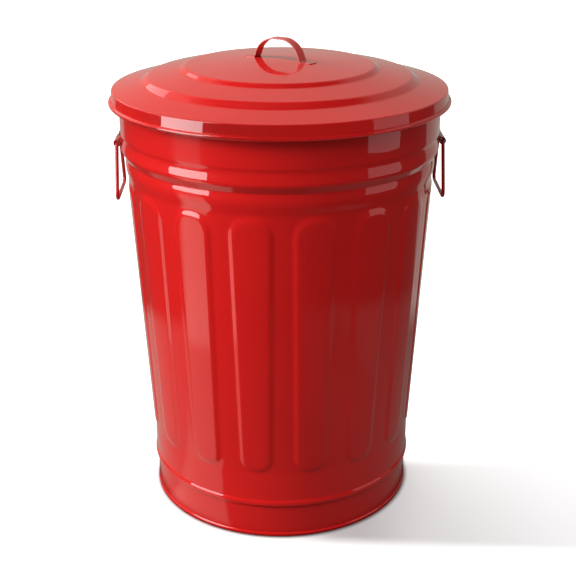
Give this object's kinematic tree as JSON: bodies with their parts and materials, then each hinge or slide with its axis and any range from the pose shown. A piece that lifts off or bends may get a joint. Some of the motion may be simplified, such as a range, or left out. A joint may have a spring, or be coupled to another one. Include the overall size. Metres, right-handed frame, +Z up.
{
  "type": "trash can with lid",
  "caption": "Tapered round sheet-metal can with a fluted wall, a foot band, a loose stepped lid with a strap handle, and wire bails at the sides.",
  "frame": {"origin": "centre of the foot, on the floor", "axes": "+Z up the can's axis; -Y out of the front; the bails are on -X and +X"},
  "size_m": [0.4644, 0.4644, 0.6605],
  "materials": {
    "can_paint": "glossy red enamel",
    "lid_paint": "glossy red enamel",
    "fittings_paint": "glossy red enamel",
    "edge_wire": "plain steel wire"
  },
  "bodies": {
    "can": {"body_shell": "can_paint", "body_rim_wire": "edge_wire", "foot_ring": "can_paint", "foot_wire": "edge_wire", "bottom_pan": "can_paint", "ear_left": "fittings_paint", "ear_right": "fittings_paint", "ear_rivets_left": "fittings_paint", "ear_rivets_right": "fittings_paint"},
    "lid": {"lid_pan": "lid_paint", "lid_rim_wire": "edge_wire", "lid_handle": "lid_paint"},
    "left_bail": {"bail_left": "fittings_paint"},
    "right_bail": {"bail_right": "fittings_paint"}
  },
  "joints": [
    {"name": "lid_lift", "type": "slide", "parent": "can", "child": "lid", "axis": [0, 0, 1], "range_m": [0, 0.12]},
    {"name": "left_bail_swing", "type": "hinge", "parent": "can", "child": "left_bail", "pos_m": [-0.2227, 0, 0.522], "axis": [0, 1, 0], "range_deg": [-7, 165]},
    {"name": "right_bail_swing", "type": "hinge", "parent": "can", "child": "right_bail", "pos_m": [0.2227, 0, 0.522], "axis": [0, -1, 0], "range_deg": [-7, 165]}
  ]
}
